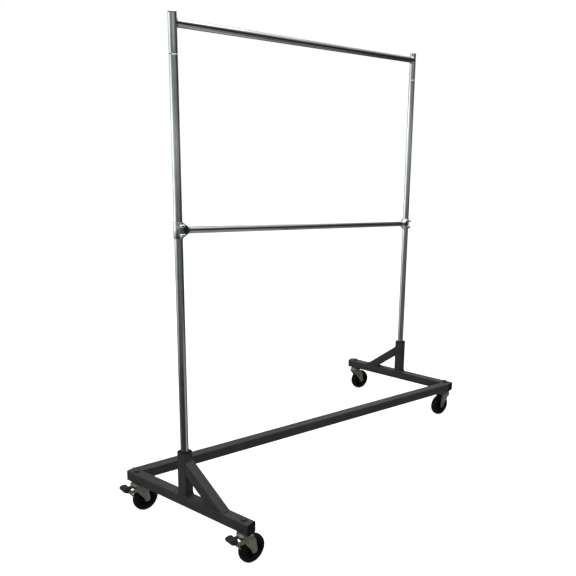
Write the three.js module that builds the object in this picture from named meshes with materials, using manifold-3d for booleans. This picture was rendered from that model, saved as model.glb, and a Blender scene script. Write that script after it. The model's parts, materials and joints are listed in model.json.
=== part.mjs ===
// Rolling clothes rack with a Z-shaped base, in millimetres, +Z up.
// X runs along the hang rails, Y along the two legs, and the floor is z = 0.
// "left" is the -X end and "front" is the -Y side. The base looks the same after half a turn about Z.
import * as THREE from "three";
import { mergeVertices } from "three/addons/utils/BufferGeometryUtils.js";
import Module from "manifold-3d";

const wasm = await Module();
wasm.setup();

// ---- driving dimensions ----
const GAP = 0.3; // kept between faces that touch on the real rack
const SPAN = 1532; // between the upright axes
const TUBE = 38.1; // square tube of the base
const TUBE_WALL = 2;
const TUBE_CORNER = 4; // outer corner radius of the square tube
const LEG_BOTTOM = 123;
const LEG_FREE_END = 293; // from the middle of a leg to its free end
const LEG_CORNER_END = 283; // from the middle of a leg to the end that carries the beam
const PLUG_LIP = 2.2;
const PLUG_DEPTH = 11;
const SOCKET_TOP = 318.5;
const BUSH_LIP = 2.6;
const BUSH_DEPTH = 30;
const BRACE_ANGLE = THREE.MathUtils.degToRad(38);
const BRACE_FOOT = 185; // from the socket axis to the brace's outer edge on the leg

const UPRIGHT_R = 13.5;
const ROUND_WALL = 1.5;
const UPRIGHT_TOP = 1604;
const POST_TOP = 1722;
const SPIGOT_LENGTH = 60;
const CAP_HEIGHT = 3;
const TOP_RAIL_R = 13;
const TOP_RAIL_Z = 1693;
const MID_RAIL_R = 11;
const MID_RAIL_LEFT_Z = 1074;
const MID_RAIL_RIGHT_Z = 924;

const CLAMP_HEIGHT = 52;
const CLAMP_R = 15.6;
const ARM_LENGTH = 44; // from the upright's axis to the arm's mouth
const ARM_ROOT_R = 25.5;
const ARM_MOUTH_R = 12.8;
const ARM_HALF_WIDTH = 13;
const RAIL_END = 23.5; // from the upright's axis to the end of the lower rail
const SCREW_Y = -19;
const SCREW_Z = 15;
const SCREW_R = 2.5;
const SCREW_HEAD_R = 4.6;
const BOSS_R = 5.2;
const BOSS_LENGTH = 8;

const WHEEL_R = 49;
const TYRE_WIDTH = 28;
const HUB_R = 33;
const HUB_WIDTH = 32;
const TRAIL = 30; // from the swivel axis to the wheel's axle
const AXLE_R = 4;
const CHEEK_INSIDE = 16.5; // half the space between the fork's cheeks
const CHEEK_TIP_R = 11;
const SHEET = 2.5; // thickness of the fork's steel
const CROWN_TOP = 105;
const CROWN_FRONT = 26; // the crown's ends, from the swivel axis
const CROWN_BACK = -20;
const RACE_R = 25;
const STEM_R = 6;
const STEM_TOP = 165;
const PIVOT = { x: -34, z: 96 }; // of the brake lever, from the swivel axis and the floor
const PIVOT_R = 2.5;
const EAR_R = 7;
const LEVER_HALF_WIDTH = 12;
const PEDAL_HALF_WIDTH = 16;

// label, stem place, direction in which the wheel trails, and whether it has a brake
const CASTERS = [
  { name: "left_front", x: -SPAN / 2, y: -262, yaw: -12, brake: true },
  { name: "left_rear", x: -SPAN / 2, y: 252, yaw: -12, brake: true },
  { name: "right_front", x: SPAN / 2, y: -252, yaw: 163, brake: false },
  { name: "right_rear", x: SPAN / 2, y: 262, yaw: -22, brake: false },
];

const LEG_TOP = LEG_BOTTOM + TUBE;
const LEG_MIDDLE = LEG_BOTTOM + TUBE / 2;
const FINE = 20; // sides of the large round parts
const COARSE = 12; // sides of the small ones

// ---- materials ----
const finish = (color, roughness, metalness) =>
  new THREE.MeshStandardMaterial({ color, roughness, metalness });
const PAINT = finish(0x3a3a3b, 0.55, 0);
const CHROME = finish(0xc4c7c9, 0.12, 1);
const ZINC = finish(0x9a9b8c, 0.4, 1);
const RUBBER = finish(0x161512, 0.6, 0);
const BLACK_PLASTIC = finish(0x0e0e0e, 0.45, 0);
const PEDAL_PLASTIC = finish(0x2c2c2b, 0.5, 0);

// ---- solids ----
// Returns a geometry as a closed manifold solid.
function solid(geometry) {
  const bare = geometry.clone();
  bare.deleteAttribute("normal");
  bare.deleteAttribute("uv");
  const merged = mergeVertices(bare, 1e-4);
  return new wasm.Manifold(
    new wasm.Mesh({
      numProp: 3,
      vertProperties: merged.attributes.position.array,
      triVerts: new Uint32Array(merged.index.array),
    }),
  );
}

// Returns a manifold solid as a geometry.
function geometryOf(manifold) {
  const mesh = manifold.getMesh();
  const geometry = new THREE.BufferGeometry();
  geometry.setAttribute("position", new THREE.BufferAttribute(mesh.vertProperties, 3));
  geometry.setIndex(new THREE.BufferAttribute(mesh.triVerts, 1));
  return geometry;
}

// A box from its centre and its size.
function box([x, y, z], [width, depth, height]) {
  return solid(new THREE.BoxGeometry(width, depth, height).translate(x, y, z));
}

// A solid turned about Z from points [radius, z], from the bottom of its axis to the top.
function turned(points, sides = FINE) {
  const profile = points.map(([r, z]) => new THREE.Vector2(r, z));
  return solid(new THREE.LatheGeometry(profile, sides).rotateX(Math.PI / 2));
}

// A round bar along Z.
function bar(radius, low, high, sides = FINE) {
  return turned([[0, low], [radius, low], [radius, high], [0, high]], sides);
}

// A square with rounded corners, as a shape or a hole.
function roundedSquare(side, corner, Path = THREE.Shape) {
  const h = side / 2;
  const edge = new Path();
  edge.moveTo(h - corner, -h);
  edge.absarc(h - corner, corner - h, corner, -Math.PI / 2, 0);
  edge.absarc(h - corner, h - corner, corner, 0, Math.PI / 2);
  edge.absarc(corner - h, h - corner, corner, Math.PI / 2, Math.PI);
  edge.absarc(corner - h, corner - h, corner, Math.PI, 1.5 * Math.PI);
  edge.closePath();
  return edge;
}

// An upright prism of a shape drawn in XY, from one height to another.
function prism(shape, low, high, curveSegments = 2) {
  const options = { depth: high - low, bevelEnabled: false, curveSegments };
  return solid(new THREE.ExtrudeGeometry(shape, options).translate(0, 0, low));
}

// A hollow square tube along Z.
function squareTube(low, high) {
  const shape = roundedSquare(TUBE, TUBE_CORNER);
  shape.holes.push(roundedSquare(TUBE - 2 * TUBE_WALL, TUBE_CORNER - TUBE_WALL, THREE.Path));
  return prism(shape, low, high);
}

// A prism whose shape is drawn in XZ, between two places along Y.
function sideways(shape, low, high, curveSegments = 4) {
  return prism(shape, -high, -low, curveSegments).rotate([90, 0, 0]);
}

// The outline through a list of [x, z] points.
function outline(points) {
  return new THREE.Shape(points.map(([x, z]) => new THREE.Vector2(x, z)));
}

// ---- the rack, part by part ----
const rack = new THREE.Group();

function place(parent, name, manifold, material) {
  const mesh = new THREE.Mesh(geometryOf(manifold), material);
  mesh.name = name;
  parent.add(mesh);
}

// Holes for a caster's stem, through both walls of a leg, at a place along Y.
function stemHole(y) {
  return bar(STEM_R + 0.4, LEG_BOTTOM - 5, LEG_TOP + 5, COARSE).translate([0, y, 0]);
}

// A plug for a square tube's open end, which faces +Y at the given place.
function tubePlug(end) {
  const lip = prism(roundedSquare(TUBE, TUBE_CORNER), 0, PLUG_LIP);
  const insert = prism(roundedSquare(TUBE - 2 * TUBE_WALL - 0.8, TUBE_CORNER - TUBE_WALL), -PLUG_DEPTH, 0.5);
  return lip.add(insert).rotate([-90, 0, 0]).translate([0, end + GAP, LEG_MIDDLE]);
}

// Half of the base: a leg whose corner end points to +Y, its plugs, socket, bush and brace.
function addLeg(group, side) {
  const leg = squareTube(-LEG_FREE_END, LEG_CORNER_END).rotate([-90, 0, 0]).translate([0, 0, LEG_MIDDLE]);
  const front = CASTERS[0].y;
  const rear = CASTERS[1].y;
  place(group, `leg_${side}`, leg.subtract(stemHole(front)).subtract(stemHole(rear)), PAINT);
  place(group, `corner_plug_${side}`, tubePlug(LEG_CORNER_END), BLACK_PLASTIC);
  place(group, `end_plug_${side}`, tubePlug(LEG_FREE_END).rotate([0, 0, 180]), BLACK_PLASTIC);

  place(group, `socket_${side}`, squareTube(LEG_TOP + GAP, SOCKET_TOP), PAINT);
  const bore = bar(UPRIGHT_R + 0.3, LEG_TOP, SOCKET_TOP + 10);
  const lip = prism(roundedSquare(TUBE, TUBE_CORNER), SOCKET_TOP + GAP, SOCKET_TOP + GAP + BUSH_LIP);
  const sleeve = prism(
    roundedSquare(TUBE - 2 * TUBE_WALL - 0.8, TUBE_CORNER - TUBE_WALL),
    SOCKET_TOP - BUSH_DEPTH,
    SOCKET_TOP + 1,
  );
  place(group, `socket_bush_${side}`, lip.add(sleeve).subtract(bore), BLACK_PLASTIC);

  // The brace's top edge runs from the leg at BRACE_FOOT up to the socket's face.
  const middle = BRACE_FOOT - TUBE / 2 / Math.sin(BRACE_ANGLE);
  const tilt = 90 - THREE.MathUtils.radToDeg(BRACE_ANGLE);
  const brace = squareTube(-100, 400)
    .rotate([-tilt, 0, 0])
    .translate([0, -middle, LEG_TOP])
    .subtract(box([0, 0, LEG_TOP - 200 + GAP], [100, 900, 400]))
    .subtract(box([0, 200 - TUBE / 2 - GAP, LEG_TOP + 300], [100, 400, 1000]));
  place(group, `brace_${side}`, brace, PAINT);
}

// The long tube of the Z: its outer side meets the corner end of each leg at the leg's inner face.
function diagonalBeam() {
  const x = SPAN / 2 - TUBE / 2;
  const y = LEG_CORNER_END;
  const turn = Math.atan2(y, x) - Math.asin(TUBE / 2 / Math.hypot(x, y));
  const far = 2000;
  return squareTube(-far / 2, far / 2)
    .rotate([0, 90, 0])
    .rotate([0, 0, -THREE.MathUtils.radToDeg(turn)])
    .translate([0, 0, LEG_MIDDLE])
    .subtract(box([x - GAP + far / 2, 0, LEG_MIDDLE], [far, far, 100]))
    .subtract(box([GAP - x - far / 2, 0, LEG_MIDDLE], [far, far, 100]));
}

// A round tube along Z, open at both ends.
function roundTube(radius, low, high, wall = ROUND_WALL) {
  return bar(radius, low, high).subtract(bar(radius - wall, low - 1, high + 1));
}

// A post of the top frame: a tube with a narrower spigot that stands in the upright.
function endPost() {
  const spigotR = UPRIGHT_R - ROUND_WALL - GAP;
  const low = UPRIGHT_TOP + GAP;
  const outside = turned([
    [0, low - SPIGOT_LENGTH],
    [spigotR - 1, low - SPIGOT_LENGTH],
    [spigotR, low - SPIGOT_LENGTH + 2],
    [spigotR, low],
    [UPRIGHT_R, low],
    [UPRIGHT_R, POST_TOP],
    [0, POST_TOP],
  ]);
  return outside.subtract(bar(spigotR - ROUND_WALL, low - SPIGOT_LENGTH - 1, POST_TOP + 1));
}

function postCap() {
  const low = POST_TOP + GAP;
  const plugR = UPRIGHT_R - ROUND_WALL - 2 * GAP - 0.2;
  return turned([
    [0, low - 8],
    [plugR - 1, low - 8],
    [plugR - 1, low],
    [UPRIGHT_R, low],
    [UPRIGHT_R, low + 1.2],
    [UPRIGHT_R - 3, low + CAP_HEIGHT],
    [0, low + CAP_HEIGHT],
  ]);
}

// The top hang rail, its ends cut to the posts' curve.
function topRail() {
  const rail = roundTube(TOP_RAIL_R, -SPAN / 2, SPAN / 2).rotate([0, 90, 0]).translate([0, 0, TOP_RAIL_Z]);
  const cut = bar(UPRIGHT_R + GAP, TOP_RAIL_Z - 50, TOP_RAIL_Z + 50);
  return rail.subtract(cut.translate([-SPAN / 2, 0, 0])).subtract(cut.translate([SPAN / 2, 0, 0]));
}

// One clamp about an upright at the origin, its arm towards +X and turned down by slope degrees.
function clampHalves(slope) {
  const half = CLAMP_HEIGHT / 2;
  const collar = turned([
    [0, -half],
    [CLAMP_R - 1, -half],
    [CLAMP_R, 1.5 - half],
    [CLAMP_R, half - 1.5],
    [CLAMP_R - 1, half],
    [0, half],
  ]);
  const point = (manifold) => manifold.rotate([0, 90 + slope, 0]);
  const gusset = turned([
    [0, 0],
    [ARM_ROOT_R, 0],
    [ARM_ROOT_R, 14],
    [20, 24],
    [ARM_MOUTH_R, 36],
    [ARM_MOUTH_R, ARM_LENGTH],
    [0, ARM_LENGTH],
  ]);
  const slab = box([50, 0, 0], [100, 2 * ARM_HALF_WIDTH, CLAMP_HEIGHT]);
  const railBore = bar(MID_RAIL_R + GAP, CLAMP_R + 3, ARM_LENGTH + 1);
  let body = collar.add(point(gusset).intersect(slab));
  for (const z of [SCREW_Z, -SCREW_Z]) {
    body = body.add(alongX(BOSS_R, -BOSS_LENGTH, BOSS_LENGTH, SCREW_Y, z));
  }
  body = body
    .subtract(bar(UPRIGHT_R + GAP, -half - 1, half + 1))
    .subtract(point(railBore))
    .subtract(alongX(SCREW_R + GAP, -30, 60, SCREW_Y, SCREW_Z))
    .subtract(alongX(SCREW_R + GAP, -30, 60, SCREW_Y, -SCREW_Z));
  const keep = (sign) => box([sign * (100 + GAP), 0, 0], [200, 200, 200]);
  return [body.intersect(keep(1)), body.intersect(keep(-1))];
}

// A small round bar along X through a place in YZ.
function alongX(radius, low, high, y, z) {
  return bar(radius, low, high, COARSE).rotate([0, 90, 0]).translate([0, y, z]);
}

// A clamp screw along X with a pan head at its +X end.
function clampScrew() {
  const seat = BOSS_LENGTH + GAP;
  const profile = [
    [0, -BOSS_LENGTH],
    [SCREW_R, -BOSS_LENGTH],
    [SCREW_R, seat],
    [SCREW_HEAD_R, seat],
    [SCREW_HEAD_R, seat + 2],
    [SCREW_HEAD_R - 1.5, seat + 3.2],
    [0, seat + 3.2],
  ];
  return turned(profile, COARSE).rotate([0, 90, 0]);
}

function addMidRail(group) {
  const drop = MID_RAIL_LEFT_Z - MID_RAIL_RIGHT_Z;
  const slope = THREE.MathUtils.radToDeg(Math.atan2(drop, SPAN));
  const reach = Math.hypot(SPAN, drop) / 2 - RAIL_END;
  const rail = roundTube(MID_RAIL_R, -reach, reach)
    .rotate([0, 90 + slope, 0])
    .translate([0, 0, (MID_RAIL_LEFT_Z + MID_RAIL_RIGHT_Z) / 2]);
  place(group, "mid_rail", rail, CHROME);
  const ends = [
    ["left", 1, MID_RAIL_LEFT_Z],
    ["right", -1, MID_RAIL_RIGHT_Z],
  ];
  for (const [side, sign, z] of ends) {
    const clamp = new THREE.Group();
    clamp.position.set((-sign * SPAN) / 2, 0, z);
    const mirrored = (manifold) => (sign < 0 ? manifold.mirror([1, 0, 0]) : manifold);
    const [arm, strap] = clampHalves(sign * slope);
    place(clamp, `clamp_arm_${side}`, mirrored(arm), CHROME);
    place(clamp, `clamp_strap_${side}`, mirrored(strap), CHROME);
    const screw = mirrored(clampScrew()).translate([0, SCREW_Y, 0]);
    place(clamp, `clamp_screw_upper_${side}`, screw.translate([0, 0, SCREW_Z]), ZINC);
    place(clamp, `clamp_screw_lower_${side}`, screw.translate([0, 0, -SCREW_Z]), ZINC);
    group.add(clamp);
  }
}

// The fixed half of a caster: threaded stem, upper race and the riveted pin that holds the fork.
function casterStem() {
  const crownBottom = CROWN_TOP - SHEET - 1;
  return turned([
    [0, crownBottom - 2.2],
    [8, crownBottom - 2.2],
    [8, crownBottom - GAP],
    [5, crownBottom - GAP],
    [5, CROWN_TOP + 3.5],
    [RACE_R - 2, CROWN_TOP + 3.5],
    [RACE_R, CROWN_TOP + 5],
    [RACE_R, CROWN_TOP + 9],
    [18, CROWN_TOP + 13],
    [18, LEG_BOTTOM - GAP],
    [STEM_R, LEG_BOTTOM - GAP],
    [STEM_R, STEM_TOP - 1.5],
    [STEM_R - 1.5, STEM_TOP],
    [0, STEM_TOP],
  ]);
}

// A flanged cap nut on top of the leg.
function stemNut() {
  const seat = LEG_TOP + GAP;
  const hexagon = [
    [0, seat],
    [10.9, seat],
    [10.9, seat + 4.2],
    [8.5, seat + 5.8],
    [0, seat + 6.4],
  ];
  return turned(hexagon, 6)
    .add(bar(13, seat, seat + 1.6))
    .subtract(bar(STEM_R + GAP, LEG_TOP - 5, STEM_TOP + GAP, COARSE));
}

// The outline of a fork's cheek, with an ear for the brake's pin when it has one.
function cheekShape(brake) {
  const cheek = new THREE.Shape();
  cheek.moveTo(CROWN_BACK, CROWN_TOP);
  cheek.lineTo(CROWN_FRONT, CROWN_TOP);
  cheek.lineTo(TRAIL + 5, 88);
  cheek.absarc(TRAIL, WHEEL_R, CHEEK_TIP_R, 0, -Math.PI, true);
  cheek.lineTo(-10, 89);
  if (brake) {
    cheek.lineTo(-25, 88);
    cheek.absarc(PIVOT.x, PIVOT.z, EAR_R, -0.8, Math.PI / 2, true);
  } else {
    cheek.lineTo(CROWN_BACK, 98);
  }
  cheek.closePath();
  return cheek;
}

// A caster's pressed steel fork.
function fork(brake) {
  const outside = CHEEK_INSIDE + SHEET;
  const crownHeight = SHEET + 1;
  const crownMiddle = [(CROWN_FRONT + CROWN_BACK) / 2, 0, CROWN_TOP - crownHeight / 2];
  const race = turned([
    [0, CROWN_TOP - 1],
    [19, CROWN_TOP - 1],
    [19, CROWN_TOP + 1.5],
    [16, CROWN_TOP + 3],
    [0, CROWN_TOP + 3],
  ]);
  let body = sideways(cheekShape(brake), CHEEK_INSIDE, outside)
    .add(sideways(cheekShape(brake), -outside, -CHEEK_INSIDE))
    .add(box(crownMiddle, [CROWN_FRONT - CROWN_BACK, 2 * outside, crownHeight]))
    .add(race)
    .subtract(bar(5.5, 80, 130, COARSE))
    .subtract(crossBar(AXLE_R + GAP, -40, 40, TRAIL, WHEEL_R));
  if (brake) {
    body = body.subtract(crossBar(PIVOT_R + GAP, -40, 40, PIVOT.x, PIVOT.z));
  }
  return body;
}

// A round bar along Y through a place in XZ.
function crossBar(radius, low, high, x, z, sides = COARSE) {
  return bar(radius, low, high, sides).rotate([-90, 0, 0]).translate([x, 0, z]);
}

// Turned about the wheel's axle from points [radius, distance along the axle].
function wheelTurned(points) {
  return turned(points).rotate([-90, 0, 0]).translate([TRAIL, 0, WHEEL_R]);
}

function tyre() {
  const half = TYRE_WIDTH / 2;
  const inner = HUB_R + GAP;
  return wheelTurned([
    [inner, -half + 2],
    [inner + 4, -half],
    [WHEEL_R - 6, -half],
    [WHEEL_R - 1.2, 4 - half],
    [WHEEL_R, 0],
    [WHEEL_R - 1.2, half - 4],
    [WHEEL_R - 6, half],
    [inner + 4, half],
    [inner, half - 2],
    [inner, -half + 2],
  ]);
}

function hub() {
  const half = HUB_WIDTH / 2;
  const rim = TYRE_WIDTH / 2 - 2.5;
  const bore = AXLE_R + GAP;
  return wheelTurned([
    [bore, -half],
    [10, -half],
    [12, -7],
    [26, -5],
    [28, -rim],
    [HUB_R, -rim],
    [HUB_R, rim],
    [28, rim],
    [26, 5],
    [12, 7],
    [10, half],
    [bore, half],
    [bore, -half],
  ]);
}

// The axle bolt, with its head and its nut outside the fork's cheeks.
function axle() {
  const seat = CHEEK_INSIDE + SHEET + GAP;
  const profile = [
    [0, -seat - 3.5],
    [5, -seat - 3.5],
    [7, -seat - 2.5],
    [7, -seat],
    [AXLE_R, -seat],
    [AXLE_R, seat],
    [6.5, seat],
    [6.5, seat + 4],
    [0, seat + 4],
  ];
  return turned(profile, COARSE).rotate([-90, 0, 0]).translate([TRAIL, 0, WHEEL_R]);
}

// The brake's steel lever: a tongue in the pedal and a shoe that swings towards the tyre.
function brakeLever() {
  const tongue = outline([
    [-29, 96],
    [-30, 101],
    [-40, 102.5],
    [-57, 112.5],
    [-58.5, 109.8],
    [-42, 99],
    [-40.5, 92],
    [-34, 90],
  ]);
  const shoe = outline([
    [-40, 95],
    [-30, 91],
    [-19.6, 70.7],
    [-23.2, 69.2],
    [-33, 82],
  ]);
  return sideways(tongue, -LEVER_HALF_WIDTH, LEVER_HALF_WIDTH)
    .add(sideways(shoe, 1 - LEVER_HALF_WIDTH, LEVER_HALF_WIDTH - 1))
    .subtract(crossBar(PIVOT_R + GAP, -30, 30, PIVOT.x, PIVOT.z));
}

function brakePin() {
  const seat = CHEEK_INSIDE + SHEET + GAP;
  const profile = [
    [0, -seat - 1.4],
    [4, -seat - 1.4],
    [4, -seat],
    [PIVOT_R, -seat],
    [PIVOT_R, seat],
    [4, seat],
    [4, seat + 1.4],
    [0, seat + 1.4],
  ];
  return turned(profile, COARSE).rotate([-90, 0, 0]).translate([PIVOT.x, 0, PIVOT.z]);
}

// The moulded pedal, with a slot that takes the lever's tongue.
function brakePedal() {
  const block = outline([
    [-43, 94],
    [-58, 101],
    [-64.5, 107],
    [-65, 113],
    [-60, 118],
    [-48, 119],
    [-37, 115],
    [-35, 107],
    [-38, 104.5],
    [-43.5, 102.8],
  ]);
  const slot = outline([
    [-28, 101.6],
    [-40, 103.2],
    [-57.2, 113.4],
    [-59.5, 109.5],
    [-42.4, 98.6],
    [-28, 92],
  ]);
  const slotHalfWidth = LEVER_HALF_WIDTH + GAP;
  return sideways(block, -PEDAL_HALF_WIDTH, PEDAL_HALF_WIDTH)
    .subtract(sideways(slot, -slotHalfWidth, slotHalfWidth));
}

function addCaster({ name, x, y, yaw, brake }) {
  const fixed = new THREE.Group();
  fixed.position.set(x, y, 0);
  place(fixed, `caster_stem_${name}`, casterStem(), ZINC);
  place(fixed, `stem_nut_${name}`, stemNut(), PAINT);
  const swivel = new THREE.Group();
  swivel.position.set(x, y, 0);
  swivel.rotation.z = THREE.MathUtils.degToRad(yaw);
  place(swivel, `fork_${name}`, fork(brake), ZINC);
  place(swivel, `axle_${name}`, axle(), ZINC);
  place(swivel, `tyre_${name}`, tyre(), RUBBER);
  place(swivel, `hub_${name}`, hub(), BLACK_PLASTIC);
  if (brake) {
    place(swivel, `brake_lever_${name}`, brakeLever(), ZINC);
    place(swivel, `brake_pin_${name}`, brakePin(), ZINC);
    place(swivel, `brake_pedal_${name}`, brakePedal(), PEDAL_PLASTIC);
  }
  rack.add(fixed, swivel);
}

const halves = [
  ["left", 0],
  ["right", Math.PI],
];
for (const [side, turn] of halves) {
  const end = new THREE.Group();
  end.rotation.z = turn;
  end.position.x = side === "left" ? -SPAN / 2 : SPAN / 2;
  addLeg(end, side);
  place(end, `upright_${side}`, roundTube(UPRIGHT_R, LEG_TOP + 3, UPRIGHT_TOP), CHROME);
  place(end, `end_post_${side}`, endPost(), CHROME);
  place(end, `post_cap_${side}`, postCap(), CHROME);
  rack.add(end);
}
place(rack, "diagonal_beam", diagonalBeam(), PAINT);
place(rack, "top_rail", topRail(), CHROME);
addMidRail(rack);
CASTERS.forEach(addCaster);

// The origin is on the floor, below the middle of the rack's box.
const bounds = new THREE.Box3().setFromObject(rack, true);
rack.position.x = -(bounds.min.x + bounds.max.x) / 2;
rack.position.y = -(bounds.min.y + bounds.max.y) / 2;

export default rack;
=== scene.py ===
"""The looks of a rolling clothes rack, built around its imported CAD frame.

Shapes are drawn in millimetres and placed by matrices that come from the frame, which is in metres.
"left" is the -X end, "front" is the -Y side, and a caster's own +X points the way its wheel trails.
"""

import json
import math

import bmesh
import bpy
from mathutils import Matrix, Vector, noise


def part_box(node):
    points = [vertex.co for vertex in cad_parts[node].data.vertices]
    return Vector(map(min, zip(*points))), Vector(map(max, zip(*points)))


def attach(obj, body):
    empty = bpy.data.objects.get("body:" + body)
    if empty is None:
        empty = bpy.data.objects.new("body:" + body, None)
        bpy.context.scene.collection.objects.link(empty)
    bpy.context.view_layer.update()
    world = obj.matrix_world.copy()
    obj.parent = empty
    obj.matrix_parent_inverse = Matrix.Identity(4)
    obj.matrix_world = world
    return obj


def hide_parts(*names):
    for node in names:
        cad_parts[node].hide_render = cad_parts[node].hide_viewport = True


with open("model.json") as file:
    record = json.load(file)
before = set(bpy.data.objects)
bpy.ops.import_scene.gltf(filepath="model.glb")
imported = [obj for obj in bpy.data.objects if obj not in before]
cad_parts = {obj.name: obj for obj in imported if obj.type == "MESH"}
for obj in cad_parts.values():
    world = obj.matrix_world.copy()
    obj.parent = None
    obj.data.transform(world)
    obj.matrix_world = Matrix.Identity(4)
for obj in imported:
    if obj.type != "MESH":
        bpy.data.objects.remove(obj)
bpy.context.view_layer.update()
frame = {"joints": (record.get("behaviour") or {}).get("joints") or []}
MM = 0.001

# ---- sizes of the CAD pieces, in millimetres ----
TUBE = 38.1
TUBE_WALL = 2
TUBE_CORNER = 4
UPRIGHT_R = 13.5
ROUND_WALL = 1.5
SPIGOT_R = 11.7
TOP_RAIL_R = 13
MID_RAIL_R = 11
CLAMP_R = 15.6
CLAMP_HALF = 26
ARM_LENGTH = 44
ARM_HALF_WIDTH = 13
RAIL_END = 23.5
SCREW_Y = -19
SCREW_Z = 15
SCREW_R = 2.5
BOSS_R = 5.2
BOSS_HALF = 8
WHEEL_R = 49
TYRE_WIDTH = 28
HUB_R = 33
HUB_WIDTH = 32
TRAIL = 30
AXLE_R = 4
CHEEK_INSIDE = 16.5
SHEET = 2.5
CROWN_TOP = 105
CROWN_FRONT = 26
CROWN_BACK = -20
RACE_R = 25
STEM_R = 6
STEM_TOP = 165
PIVOT = (-34, 96)
PIN_R = 2.5
EAR_R = 7
LEVER_HALF_WIDTH = 12
PEDAL_HALF_WIDTH = 16
BRACE_ANGLE = math.radians(38)

# ---- sizes of the finer shapes here, in millimetres ----
NEAR_LIP = 4
ROUND_SIDES = 96
JOINT_GAP = 0.1
BORE_GAP = 0.25
HOLE_GAP = 0.2
BEAD_R = 2.8
THIN_BEAD_R = 2.6
BEAD_LIFT = 0.6

X, Y, Z = Vector((1, 0, 0)), Vector((0, 1, 0)), Vector((0, 0, 1))
SIDES = ("left", "right")
TURN = {"left": 0, "right": math.pi}
JOINTS = {joint["name"]: joint for joint in frame["joints"]}
CASTERS = ("left_front", "left_rear", "right_front", "right_rear")
BRAKED = ("left_front", "left_rear")


def middle(node):
    """The middle of a CAD node's box, in millimetres."""
    low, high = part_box(node)
    return (low + high) / 2 / MM


LEG_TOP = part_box("leg_left")[1].z / MM
LEG_BOTTOM = LEG_TOP - TUBE
LEG_MIDDLE = LEG_TOP - TUBE / 2
SOCKET_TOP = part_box("socket_left")[1].z / MM
UPRIGHT_BOTTOM, UPRIGHT_TOP = (corner.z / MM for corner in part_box("upright_left"))
POST_BOTTOM, POST_TOP = (corner.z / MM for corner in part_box("end_post_left"))
UPRIGHT_X = {side: middle(f"upright_{side}").x for side in SIDES}
MIDDLE_X = (UPRIGHT_X["left"] + UPRIGHT_X["right"]) / 2
SPAN = UPRIGHT_X["right"] - UPRIGHT_X["left"]


# ---- camera ----
def add_camera():
    """The viewing angle: a little above the rack's middle, off its near left corner."""
    heading = math.radians(37.24)
    tilt = math.radians(-12.70)
    roll = math.radians(-0.34)
    left_of_middle = 2272.7
    data = bpy.data.cameras.new("camera")
    data.sensor_width = 36
    data.lens = 43.12
    data.shift_x = 0.0052
    data.shift_y = -0.018
    camera = bpy.data.objects.new("camera", data)
    forward = Vector((math.cos(tilt) * math.cos(heading), math.cos(tilt) * math.sin(heading), math.sin(tilt)))
    right = Vector((math.sin(heading), -math.cos(heading), 0))
    down = forward.cross(right)
    turned_right = right * math.cos(roll) + down * math.sin(roll)
    turned_down = down * math.cos(roll) - right * math.sin(roll)
    camera.matrix_world = Matrix((turned_right, -turned_down, -forward)).transposed().to_4x4()
    camera.matrix_world.translation = ((MIDDLE_X - left_of_middle) * MM, -1.5675, 1.4077)
    bpy.context.scene.collection.objects.link(camera)
    bpy.context.scene.camera = camera


# ---- materials ----
def grey(value):
    return (value, value, value)


def new_material(name, color, roughness, metallic=0.0, **inputs):
    """A material and its tree, with what is the same all over set on the shader's own sockets."""
    material = bpy.data.materials.new(name)
    material.use_nodes = True
    shader = material.node_tree.nodes["Principled BSDF"]
    shader.inputs["Base Color"].default_value = (*color, 1)
    shader.inputs["Roughness"].default_value = roughness
    shader.inputs["Metallic"].default_value = metallic
    for key, value in inputs.items():
        shader.inputs[key.replace("_", " ")].default_value = value
    return material, material.node_tree, shader


def add(tree, kind, inputs=None, **settings):
    """A new node with its settings, and its inputs set or linked."""
    made = tree.nodes.new(kind)
    for key, value in settings.items():
        setattr(made, key, value)
    for key, value in (inputs or {}).items():
        if isinstance(value, bpy.types.NodeSocket):
            tree.links.new(value, made.inputs[key])
        else:
            made.inputs[key].default_value = value
    return made


def coordinates(tree, stretch=(1, 1, 1)):
    """Places on the piece itself, in metres, so that a pattern moves with it."""
    place = add(tree, "ShaderNodeTexCoord").outputs["Object"]
    return add(tree, "ShaderNodeMapping", {"Vector": place, "Scale": stretch}).outputs["Vector"]


def speckle(tree, place, scale, detail=3.0, roughness=0.55):
    return add(
        tree,
        "ShaderNodeTexNoise",
        {"Vector": place, "Scale": scale, "Detail": detail, "Roughness": roughness},
    ).outputs["Fac"]


def ramp(tree, value, stops):
    """A colour for each stop (place from 0 to 1, colour), blended between."""
    made = add(tree, "ShaderNodeValToRGB", {"Fac": value})
    elements = made.color_ramp.elements
    elements[0].position, elements[0].color = stops[0][0], (*stops[0][1], 1)
    elements[1].position, elements[1].color = stops[-1][0], (*stops[-1][1], 1)
    for position, color in stops[1:-1]:
        elements.new(position).color = (*color, 1)
    return made.outputs["Color"]


def spread(tree, value, low, high):
    """A value from 0 to 1 spread over a range, from the noise's usual 0.3 to 0.7."""
    return add(
        tree,
        "ShaderNodeMapRange",
        {"Value": value, "From Min": 0.3, "From Max": 0.7, "To Min": low, "To Max": high},
    ).outputs["Result"]


def blend(tree, amount, first, second):
    """Two colours mixed by an amount."""
    made = add(tree, "ShaderNodeMix", data_type="RGBA")
    for index, value in ((0, amount), (6, first), (7, second)):
        if isinstance(value, bpy.types.NodeSocket):
            tree.links.new(value, made.inputs[index])
        else:
            made.inputs[index].default_value = value
    return made.outputs[2]


def multiplied(tree, first, second):
    """The product of two colours."""
    made = add(tree, "ShaderNodeMix", data_type="RGBA", blend_type="MULTIPLY")
    made.inputs[0].default_value = 1.0
    tree.links.new(first, made.inputs[6])
    tree.links.new(second, made.inputs[7])
    return made.outputs[2]


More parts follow.
